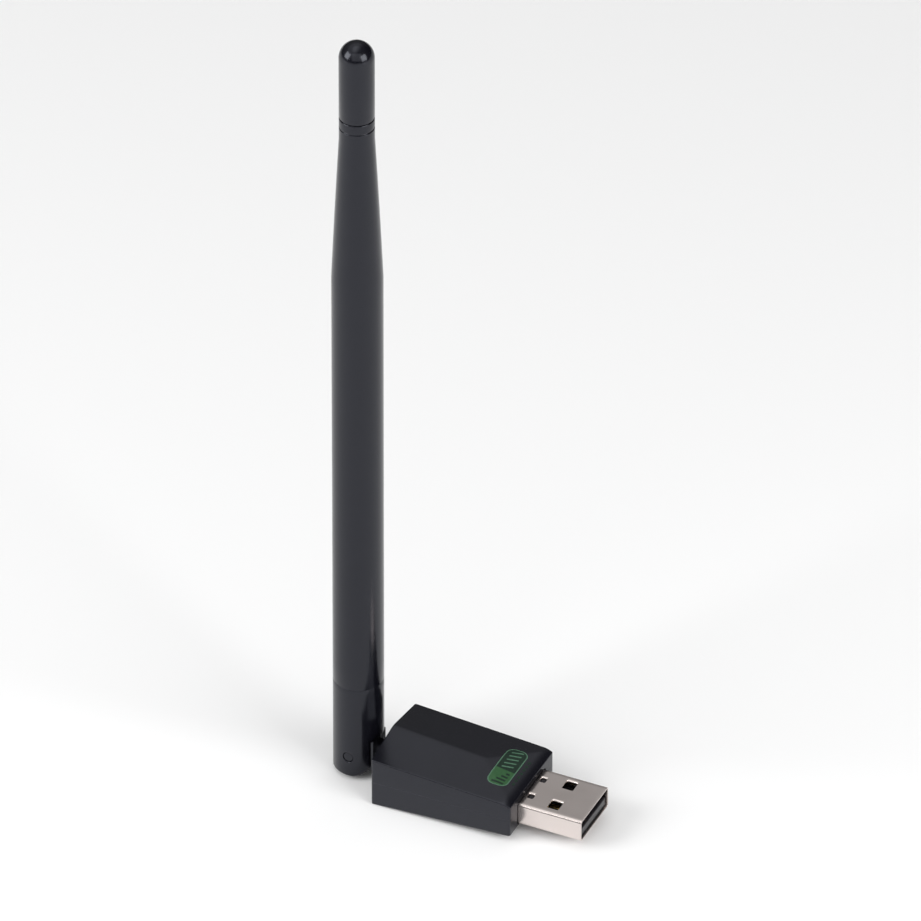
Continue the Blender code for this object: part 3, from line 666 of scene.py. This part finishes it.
def case_cap(bm, loop, inset_side, inset_end, height):
    """Fills a loop from case_loop with a grid of quads."""
    rows = outline_rows(inset_side, inset_end)
    count = len(rows)
    grid = [loop[:COLUMNS + 1]]
    for index in range(1, count - 1):
        x, width = rows[index]
        left = loop[len(loop) - index]
        right = loop[COLUMNS + index]
        inner = []
        for step in range(1, COLUMNS):
            y = width * (2.0 * step / COLUMNS - 1.0)
            inner.append(bm.verts.new((REAR_X + x, y, height(x, y))))
        grid.append([left, *inner, right])
    start = COLUMNS + count - 1
    grid.append(list(reversed(loop[start:start + COLUMNS + 1])))
    for low, high in zip(grid, grid[1:]):
        for step in range(COLUMNS):
            bm.faces.new((low[step], low[step + 1], high[step + 1], high[step]))


def case_half(rings, outer_cap, inner_cap):
    """A closed cover: rings run from the outer cap's edge to the inner cap's edge."""
    bm = bmesh.new()
    loops = [case_loop(bm, side, end, height) for side, end, height in rings]
    for first, second in zip(loops, loops[1:]):
        join_loops(bm, first, second)
    case_cap(bm, loops[0], *rings[0][:2], outer_cap)
    case_cap(bm, loops[-1], *rings[-1][:2], inner_cap)
    return bm


def fillet_rings(surface, radius, sign, steps=5):
    """Rings that round a cap's edge; sign is 1 for the top and -1 for the underside."""
    rings = []
    for run, rise in [(0.0, 0.0), *quarter(radius, steps)]:
        inset = radius - run
        drop = sign * rise
        rings.append((inset, inset, lambda x, y, drop=drop: surface(x, y) - drop))
    return rings


def level(z):
    return lambda x, y: z


def build_covers():
    """Two hollow halves that meet at the parting line; the lower one has a lip and two ribs."""
    ease = PARTING_EASE
    top_face = PARTING_Z + PARTING_HALF_GAP
    roof = lambda x, y: top_height(x, y) - WALL
    top_rings = fillet_rings(top_height, TOP_FILLET, 1)
    top_rings += [(0.0, 0.0, level(top_face + ease)), (ease, ease, level(top_face)),
                  (WALL, END_WALL, level(top_face)), (WALL, END_WALL, roof)]
    top = piece("case_top", case_half(top_rings, top_height, roof), CASE_PLASTIC,
                "housing", ("top_cover",))

    low_face = PARTING_Z - PARTING_HALF_GAP
    lip_side = WALL + FIT_GAP
    lip_end = END_WALL + FIT_GAP
    inner_side = WALL + LIP_WALL
    floor = lambda x, y: under_height(x) + WALL
    under = lambda x, y: under_height(x)
    lip_inner_end = lip_end + LIP_WALL - FIT_GAP
    low_rings = fillet_rings(under, BOTTOM_FILLET, -1)
    low_rings += [(0.0, 0.0, level(low_face - ease)), (ease, ease, level(low_face)),
                  (lip_side, lip_end, level(low_face)), (lip_side, lip_end, level(low_face + LIP_HEIGHT)),
                  (inner_side, lip_inner_end, level(low_face + LIP_HEIGHT)),
                  (inner_side, lip_inner_end, floor)]
    bottom = piece("case_bottom", case_half(low_rings, under, floor), CASE_PLASTIC,
                   "housing", ("bottom_cover",))
    ribs = []
    for number, y in enumerate((-RIB_Y, RIB_Y)):
        low = (REAR_X + RIB_ENDS[0], y - RIB_HALF_THICKNESS, RIB_LEVELS[0])
        high = (REAR_X + RIB_ENDS[1], y + RIB_HALF_THICKNESS, RIB_LEVELS[1])
        ribs.append(piece("rib_%d" % number, block(low, high), None))
    carve(bottom, ribs, "UNION")
    for cover in (top, bottom):
        carve(cover, case_openings())


def case_openings():
    """Cutters for the plug's opening and for the neck's shaft and flange."""
    half_w = PLUG_HALF_WIDTH + FIT_GAP
    half_h = PLUG_HALF_HEIGHT + FIT_GAP
    flare = 0.12 * MM
    sections = []
    stations = ((PLUG_LOW.x - 0.5 * MM, 0.0), (FRONT_X - flare, 0.0), (FRONT_X + flare, 2 * flare))
    for x, grow in stations:
        outline = rounded_rectangle(half_w + grow, half_h + grow, PLUG_CORNER + grow)
        sections.append([(x, y, PLUG_CENTRE_Z + z) for y, z in outline])
    plug_space = piece("plug_space", prism(sections), None)
    shaft = SHAFT_RADIUS + SLIDE_GAP
    flange = FLANGE_RADIUS + SLIDE_GAP
    outside = -2.0 * MM
    profile = [(0.0, outside), (shaft + 0.5 * MM, outside), (shaft + flare, 0.0), (shaft, 0.15 * MM),
               (shaft, END_WALL), (flange, END_WALL), (flange, SHAFT_SPACE_END), (0.0, SHAFT_SPACE_END)]
    shaft_space = piece("shaft_space", lathe(profile, (REAR_X, 0, HINGE_Z), "X", 64), None)
    return plug_space, shaft_space


# ---------------------------------------------------------------- printed badge

BADGE_MIDDLE = (23.1 * MM, 0.1 * MM)
BADGE_HALF = (2.05 * MM, 5.55 * MM)
BADGE_SPLIT = -0.85 * MM
BADGE_CORNER = 1.5 * MM
BADGE_BORDER = 0.2 * MM
INK_ROOT = 0.05 * MM
BORDER_INK = 0.012 * MM
DASH_INK = 0.014 * MM
FIELD_INK = 0.018 * MM
BAR_INK = 0.024 * MM
BAR_CORNER = 0.1 * MM
PRINT_GRID = 0.3 * MM
STRIPE_SLANT = 0.35
DASH_X = 26.0 * MM


def print_patch(name, outline, thickness, finish):
    """A thin printed shape on the case's top; outline is a loop of (x, y) from the rear face."""
    bm = bmesh.new()
    bm.faces.new([bm.verts.new((x, y, 0.0)) for x, y in outline])
    low_x = min(x for x, _ in outline)
    high_x = max(x for x, _ in outline)
    low_y = min(y for _, y in outline)
    high_y = max(y for _, y in outline)
    cuts = [((low_x + PRINT_GRID * step, 0, 0), (1, 0, 0))
            for step in range(1, int((high_x - low_x) / PRINT_GRID) + 1)]
    cuts += [((0, low_y + PRINT_GRID * step, 0), (0, 1, 0))
             for step in range(1, int((high_y - low_y) / PRINT_GRID) + 1)]
    for point, normal in cuts:
        bmesh.ops.bisect_plane(bm, geom=[*bm.verts, *bm.edges, *bm.faces], dist=1e-8,
                               plane_co=point, plane_no=normal)
    raised = bmesh.ops.extrude_face_region(bm, geom=list(bm.faces))
    upper = {item for item in raised["geom"] if isinstance(item, bmesh.types.BMVert)}
    for vert in bm.verts:
        lift = thickness if vert in upper else -INK_ROOT
        vert.co.z = top_height(vert.co.x, vert.co.y) + lift
        vert.co.x += REAR_X
    return piece(name, bm, finish, "housing")


def shifted(outline, middle):
    return [(middle[0] + x, middle[1] + y) for x, y in outline]


def clipped(outline, keep_low, limit):
    """The part of a convex outline on one side of y = limit."""
    made = []
    count = len(outline)
    for index in range(count):
        here = outline[index]
        after = outline[(index + 1) % count]
        inside = (here[1] <= limit) == keep_low
        if inside:
            made.append(here)
        if inside != ((after[1] <= limit) == keep_low):
            share = (limit - here[1]) / (after[1] - here[1])
            made.append((between(here[0], after[0], share), limit))
    return made


def build_badge():
    """A plain two-tone label: a row of bars on each half, a fine border and a dashed line."""
    half_x, half_y = BADGE_HALF
    outer = rounded_rectangle(half_x, half_y, BADGE_CORNER, 10)
    print_patch("badge_border", shifted(outer, BADGE_MIDDLE), BORDER_INK, INK_PALE)
    inner = rounded_rectangle(half_x - BADGE_BORDER, half_y - BADGE_BORDER, BADGE_CORNER - BADGE_BORDER, 10)
    field = shifted(inner, BADGE_MIDDLE)
    print_patch("badge_near", clipped(field, True, BADGE_SPLIT), FIELD_INK, INK_BRIGHT)
    print_patch("badge_far", clipped(field, False, BADGE_SPLIT), FIELD_INK, INK_DARK)
    for number in range(4):
        bar_half = (0.35 + 0.28 * number) * MM
        y = BADGE_SPLIT - (0.95 + 0.95 * number) * MM
        x = BADGE_MIDDLE[0] + 1.3 * MM - bar_half
        bar = rounded_rectangle(bar_half, 0.24 * MM, BAR_CORNER, 3)
        print_patch("badge_step_%d" % (number + 1), shifted(bar, (x, y)), BAR_INK, INK_DARK)
    for number in range(5):
        y = BADGE_SPLIT + (1.0 + 1.12 * number) * MM
        bar = rounded_rectangle(1.05 * MM, 0.17 * MM, BAR_CORNER, 3)
        slanted = [(along, across + STRIPE_SLANT * along) for along, across in bar]
        print_patch("badge_stripe_%d" % (number + 1), shifted(slanted, (BADGE_MIDDLE[0], y)), BAR_INK,
                    INK_PALE)
    for number in range(7):
        y = (-3.6 + 1.15 * number) * MM
        dash = rounded_rectangle(0.26 * MM, 0.36 * MM, 0.08 * MM, 3)
        print_patch("badge_dash_%d" % (number + 1), shifted(dash, (DASH_X, y)), DASH_INK, INK_DARK)


# ---------------------------------------------------------------- plug

def plug_section(x, dent=0.0):
    """The plug's rounded cross-section with points spread along its flats."""
    corners = rounded_rectangle(PLUG_HALF_WIDTH, PLUG_HALF_HEIGHT, PLUG_CORNER, 8)
    points = []
    count = len(corners)
    for index in range(count):
        here = Vector(corners[index])
        after = Vector(corners[(index + 1) % count])
        pieces = max(1, int((after - here).length / (0.4 * MM)))
        for step in range(pieces):
            points.append(here.lerp(after, step / pieces))
    made = []
    for y, z in points:
        if y < -PLUG_HALF_WIDTH + 0.001 * MM:
            reach = hypot((x - TIP_X + DENT_BACK) / DENT_REACH[0], (z - DENT_Z) / DENT_REACH[1])
            y += dent * exp(-reach * reach)
        made.append((x, y, PLUG_CENTRE_Z + z))
    return made


def build_plug():
    """A folded steel shell, one wall thick, with a dent in its near side and six punched windows."""
    rear = PLUG_LOW.x
    lip = PLUG_LIP
    sections = [plug_section(between(rear, TIP_X - lip, step / 60), DENT_DEPTH) for step in range(61)]
    sections += [grown_section(TIP_X - lip + run, -rise) for run, rise in quarter(lip, 4)]
    sections.append(grown_section(TIP_X, -(SHEET - lip)))
    sections += [grown_section(TIP_X - rise, -(SHEET - lip) - run) for run, rise in quarter(lip, 4)]
    sections += [grown_section(between(TIP_X - lip, rear, step / 39), -SHEET) for step in range(1, 40)]
    shell = piece("plug_shell", prism(sections, close=False), NICKEL, "housing",
                  ("usb_shell",), 40.0)
    cutters = []
    for number, (window, through) in enumerate(((LATCH_WINDOW, True), (KEY_WINDOW, False))):
        back, offset, half_x, half_y = window
        for side in (-1, 1):
            middle = Vector((TIP_X - back, side * offset, PLUG_CENTRE_Z))
            for up in ((1, -1) if through else (1,)):
                name = "window_%d_%d_%d" % (number, side + 1, up + 1)
                cutters.append(window_cutter(name, middle, half_x, half_y, up))
    carve(shell, cutters, "DIFFERENCE", 40.0)


def window_cutter(name, middle, half_x, half_y, up):
    """Cutter for a punched window whose far edge is rolled over more than the others."""
    roll = WINDOW_ROLL
    top = PLUG_HALF_HEIGHT
    levels = [(0.0, 0.0), (top - roll, 0.0)]
    levels += [(top - roll + run, rise) for run, rise in quarter(roll, 6)]
    levels.append((top + roll, roll))
    sections = []
    for height, grow in levels:
        slight = CRISP_SHARE * grow
        outline = rounded_rectangle(half_x + slight, half_y + slight, WINDOW_CORNER + slight, 6)
        far = (1 - CRISP_SHARE) * grow
        sections.append([(middle.x + x, middle.y + y + (far if y > 0 else 0.0), middle.z + up * height)
                         for x, y in outline])
    return piece(name, prism(sections), None)


def grown_section(x, grow):
    """The plug's outer section moved in or out by a distance, same point count."""
    made = []
    for _, y, z in plug_section(x):
        z -= PLUG_CENTRE_Z
        core_y = min(max(y, -PLUG_HALF_WIDTH + PLUG_CORNER), PLUG_HALF_WIDTH - PLUG_CORNER)
        core_z = min(max(z, -PLUG_HALF_HEIGHT + PLUG_CORNER), PLUG_HALF_HEIGHT - PLUG_CORNER)
        away = Vector((y - core_y, z - core_z))
        moved = away * ((away.length + grow) / away.length)
        made.append((x, core_y + moved.x, PLUG_CENTRE_Z + core_z + moved.y))
    return made


# ---------------------------------------------------------------- neck

def build_neck():
    """Tongue, collar, shaft and flange, with a slot for the lead to swing in."""
    axis = (REAR_X, 0, HINGE_Z)
    ease = 0.12 * MM
    shaft_rear = -TONGUE_END - 0.5 * MM
    profile = [(0.0, shaft_rear), (SHAFT_RADIUS, shaft_rear), (SHAFT_RADIUS, -COLLAR_BACK)]
    profile += arc((COLLAR_RADIUS - ease, ease - COLLAR_BACK), ease, -90, 0, 6)
    profile += arc((COLLAR_RADIUS - ease, -SLIDE_GAP - ease), ease, 0, 90, 6)
    slim = FLANGE_RADIUS - FLANGE_CHAMFER
    profile += [(SHAFT_RADIUS, -SLIDE_GAP), (SHAFT_RADIUS, FLANGE_REAR), (slim, FLANGE_REAR),
                (FLANGE_RADIUS, FLANGE_REAR + FLANGE_CHAMFER), (FLANGE_RADIUS, FLANGE_FRONT - FLANGE_CHAMFER),
                (slim, FLANGE_FRONT), (0.0, FLANGE_FRONT)]
    neck = piece("antenna_neck", lathe(profile, axis, "X", 96), ROD_PLASTIC, "swivel",
                 ("swivel_neck",))
    tongue = piece("tongue", tongue_mesh(), None)
    carve(neck, [tongue], "UNION")
    bore = piece("bore", rod_mesh(LEAD_BORE, HINGE_X - REAR_X, 5 * MM, axis, "X", 40), None)
    swing = piece("swing", block((HINGE_X - 5 * MM, -LEAD_BORE, HINGE_Z - 1.0 * MM),
                                 (HINGE_X + 1.2 * MM, LEAD_BORE, HINGE_Z + 5 * MM)), None)
    hinge = (HINGE_X, 0, HINGE_Z)
    hole = piece("hole", rod_mesh(PIN_RADIUS + FIT_GAP, -3 * MM, 3 * MM, hinge, "Y", 48), None)
    carve(neck, [bore, swing, hole])


def tongue_mesh():
    """A slab round at the hinge, its long edges eased, with a flat end facing the case."""
    ease = 0.25 * MM
    end_x = REAR_X - TONGUE_END
    half_outline = arc((TONGUE_HALF_WIDTH - ease, -ease), ease, 0, 90, 6)
    levels = [(-y, inset) for y, inset in half_outline]
    levels += [(y, inset) for y, inset in reversed(half_outline)]
    sections = []
    for y, inset in levels:
        radius = TONGUE_RADIUS + inset
        outline = [(HINGE_X + px, y, HINGE_Z + pz) for px, pz in arc((0, 0), radius, 90, 270, 48)]
        outline += [(end_x, y, HINGE_Z - radius), (end_x, y, HINGE_Z + radius)]
        sections.append(outline)
    return prism(sections)


# ---------------------------------------------------------------- antenna

def heel_height(x):
    """Height of the knuckle's underside, which curves up towards the case."""
    if x <= 0:
        return KNUCKLE_LOW.z
    return max(KNUCKLE_LOW.z, HEEL_Z - sqrt(max(0.0, HEEL_RADIUS ** 2 - x * x)))


def knuckle_ring(radius, height):
    """A ring of points about the antenna's axis; height is a function of x from the axis."""
    ring = []
    for step in range(LATHE_STEPS):
        turn = 2 * pi * (step + 0.5) / LATHE_STEPS
        x = radius * cos(turn)
        ring.append((HINGE_X + x, radius * sin(turn), height(x)))
    return ring


def build_knuckle():
    """The antenna's foot: a rounded heel, a slot for the tongue and a dimple over each pin."""
    edge = 0.4 * MM
    rim = SEAM_RIM
    high = SEAM_Z - SEAM_HALF_GAP
    collar_z = HINGE_Z + 1.5 * MM
    sections = [knuckle_ring((ROD_RADIUS - edge) * step / 14, heel_height) for step in range(1, 15)]
    for run, rise in quarter(edge, 7):
        sections.append(knuckle_ring(ROD_RADIUS - edge + run, lambda x, lift=rise: heel_height(x) + lift))
    for share in (0.25, 0.5, 0.75, 1.0):
        sections.append(knuckle_ring(ROD_RADIUS, lambda x: between(heel_height(x) + edge, collar_z, share)))
    rows = [(ROD_RADIUS, between(collar_z, high - rim, step / 12)) for step in range(1, 13)]
    rows += arc((ROD_RADIUS - rim, high - rim), rim, 0, 90, 4)[1:]
    rows += [(SPIGOT_RADIUS, high), (SPIGOT_RADIUS, SEAM_Z + SPIGOT_LENGTH - SPIGOT_CHAMFER),
             (SPIGOT_RADIUS - SPIGOT_CHAMFER, SEAM_Z + SPIGOT_LENGTH)]
    sections += [knuckle_ring(radius, lambda x, z=z: z) for radius, z in rows]
    knuckle = piece("antenna_foot", prism(sections), ROD_PLASTIC, "antenna",
                    ("antenna_knuckle",))
    carve(knuckle, [piece("slot", slot_mesh(), None)])
    ease_edges(knuckle, 0.13 * MM, 45.0)
    bevel = 0.2 * MM
    wide = PIN_RADIUS + 0.02 * MM + bevel
    reach = 6 * MM
    face = sqrt(ROD_RADIUS ** 2 - PIN_RADIUS ** 2) + 0.1 * MM
    side = [(wide, reach), (wide, face)]
    side += [(wide - run, face - rise) for run, rise in quarter(bevel, 5)]
    profile = [(0.0, reach), *side, *[(radius, -y) for radius, y in reversed(side)], (0.0, -reach)]
    hinge = (HINGE_X, 0, HINGE_Z)
    hole = piece("pin_hole", lathe(profile, hinge, "Y", 64), None)
    bore = piece("lead_hole", rod_mesh(LEAD_BORE + 0.2 * MM, 0.0, SEAM_Z, hinge, "Z", 48), None)
    carve(knuckle, [hole, bore])


def slot_mesh():
    """Cutter for the fork: round at the top and open towards the case and downwards."""
    half = TONGUE_HALF_WIDTH + SLIDE_GAP
    reach = TONGUE_RADIUS + SLIDE_GAP
    far = 10 * MM
    outline = [(HINGE_X + px, HINGE_Z + pz) for px, pz in arc((0, 0), reach, 90, 180, 24)]
    outline += [(HINGE_X - reach, -far), (HINGE_X + far, -far), (HINGE_X + far, HINGE_Z + reach)]
    sections = [[(x, y, z) for x, z in outline] for y in (-half, half)]
    return prism(sections)


def build_pins():
    """Recessed pins with a softly domed face."""
    for name, sign in (("hinge_pin_left", -1), ("hinge_pin_right", 1)):
        low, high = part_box(name)
        inner = min(abs(low.y), abs(high.y))
        outer = sqrt(ROD_RADIUS ** 2 - PIN_RADIUS ** 2) - 0.03 * MM
        radius = (high.x - low.x) / 2
        ease = 0.16 * MM
        chamfer = 0.1 * MM
        profile = [(0.0, inner), (radius - chamfer, inner), (radius, inner + chamfer), (radius, outer - ease)]
        profile += [(radius - rise, outer - ease + 0.8 * run) for run, rise in quarter(ease, 6)]
        profile += [(radius * 0.5, outer - 0.015 * MM), (0.0, outer)]
        profile = [(r, sign * y) for r, y in profile]
        piece(name.replace("hinge_pin", "antenna_pin"), lathe(profile, (HINGE_X, 0, HINGE_Z), "Y", 64),
              ROD_PLASTIC, "antenna", (name,), 50.0)


def sleeve_profile():
    """The sleeve's wall, from its top edge down the outside and back up the bore."""
    low = SEAM_Z + SEAM_HALF_GAP
    top = SLEEVE_HIGH.z
    groove = RING_GROOVE
    foot = SEAM_RIM
    taper = TAPER_TOP - TAPER_BOTTOM
    drop = ROD_RADIUS - TIP_RADIUS
    profile = arc((TIP_RADIUS - SHOULDER, top - SHOULDER), SHOULDER, 90, 0, 5)
    profile += [(TIP_RADIUS, RING_GROOVE_Z + groove + 0.1 * MM)]
    for step in range(13):
        share = step / 12
        depth = groove * (0.5 - 0.5 * cos(2 * pi * share))
        profile.append((TIP_RADIUS - depth, RING_GROOVE_Z + groove - 2 * groove * share))
    profile += [(TIP_RADIUS, RING_GROOVE_Z - groove - 0.1 * MM)]
    for step in range(25):
        share = step / 24
        eased = share + TAPER_SWELL * sin(share * pi)
        profile.append((TIP_RADIUS + drop * eased, TAPER_TOP - taper * share))
    for step in range(1, 20):
        profile.append((ROD_RADIUS, between(TAPER_BOTTOM, low + foot, step / 20)))
    profile += arc((ROD_RADIUS - foot, low + foot), foot, 0, -90, 5)
    profile += [(SLEEVE_BORE, low), (SLEEVE_BORE, TAPER_BOTTOM), (TIP_BORE, TAPER_TOP), (TIP_BORE, top)]
    return profile


def build_rod():
    """The sleeve and its domed cap."""
    centre = (HINGE_X, 0, 0)
    piece("antenna_tube", lathe(sleeve_profile(), centre, ring=True), ROD_PLASTIC, "antenna",
          ("antenna_sleeve",))
    spigot = CAP_SPIGOT_RADIUS
    dome_z = CAP_HIGH.z - TIP_RADIUS
    profile = [(0.0, CAP_HIGH.z)]
    profile += arc((0.0, dome_z), TIP_RADIUS, 90, 0, 24)[1:]
    profile += [(TIP_RADIUS, between(dome_z, CAP_BOTTOM + SHOULDER, 0.5))]
    profile += arc((TIP_RADIUS - SHOULDER, CAP_BOTTOM + SHOULDER), SHOULDER, 0, -90, 5)
    profile += [(spigot, CAP_BOTTOM), (spigot, CAP_LOW.z + 0.2 * MM), (spigot - 0.2 * MM, CAP_LOW.z),
                (0.0, CAP_LOW.z)]
    piece("antenna_cap", lathe(profile, centre), ROD_PLASTIC, "antenna", ("tip_cap",))


# ---------------------------------------------------------------- studio

def softbox(name, place, target, size, power):
    """A white rectangular lamp that faces its target."""
    light = bpy.data.lights.new(name, "AREA")
    light.shape = "RECTANGLE"
    light.size = size[0]
    light.size_y = size[1]
    light.energy = power
    made = bpy.data.objects.new(name, light)
    bpy.context.scene.collection.objects.link(made)
    made.location = place
    made.rotation_euler = (Vector(target) - Vector(place)).to_track_quat("-Z", "Y").to_euler()


def build_world():
    """A soft sky: dark at the horizon, bright overhead, and dimmer towards the plug's side."""
    world = bpy.data.worlds.new("studio")
    bpy.context.scene.world = world
    world.use_nodes = True
    tree = world.node_tree
    background = tree.nodes["Background"]
    place = tree.nodes.new("ShaderNodeTexCoord")
    split = tree.nodes.new("ShaderNodeSeparateXYZ")
    ramp = tree.nodes.new("ShaderNodeValToRGB")
    set_stops(ramp, [(height, (value, value, value)) for height, value in SKY_STOPS])
    tree.links.new(place.outputs["Generated"], split.inputs["Vector"])
    tree.links.new(split.outputs["Z"], ramp.inputs["Fac"])
    tree.links.new(ramp.outputs["Color"], background.inputs["Color"])
    fall = tree.nodes.new("ShaderNodeMapRange")
    for key, value in SKY_FALL:
        fall.inputs[key].default_value = value
    tree.links.new(split.outputs["X"], fall.inputs["Value"])
    tree.links.new(fall.outputs["Result"], background.inputs["Strength"])


def build_floor():
    """A plain pale sheet just under the lowest point."""
    finish = Finish("studio_floor", 0.8, 0.0, 0.1)
    finish.shader.inputs["Base Color"].default_value = (FLOOR_GREY, FLOOR_GREY, FLOOR_GREY, 1.0)
    bm = bmesh.new()
    bmesh.ops.create_grid(bm, x_segments=4, y_segments=4, size=4.0)
    floor = piece("studio_floor", bm, finish.material)
    floor.location = (0.0, 0.0, CAD_BOX[0].z - FLOOR_GAP)


def build_camera():
    """A long lens at the photo's viewing angle."""
    camera = bpy.data.cameras.new("camera")
    camera.lens = CAMERA_LENS
    camera.sensor_width = CAMERA_SENSOR
    camera.clip_start, camera.clip_end = CAMERA_CLIP
    view = bpy.data.objects.new("camera", camera)
    bpy.context.scene.collection.objects.link(view)
    view.location = CAMERA_PLACE
    forward = Vector(CAMERA_FORWARD).normalized()
    up = Vector(CAMERA_UP).normalized()
    side = forward.cross(up).normalized()
    up = side.cross(forward)
    view.rotation_euler = Matrix((side, up, -forward)).transposed().to_euler()
    bpy.context.scene.camera = view


def build_studio():
    bpy.context.scene.view_settings.view_transform = "Standard"
    build_world()
    build_floor()
    build_camera()
    for row in SOFTBOXES:
        softbox(*row)


build_covers()
build_badge()
build_plug()
build_neck()
build_knuckle()
build_pins()
build_rod()
finish_cad_nodes()
build_studio()
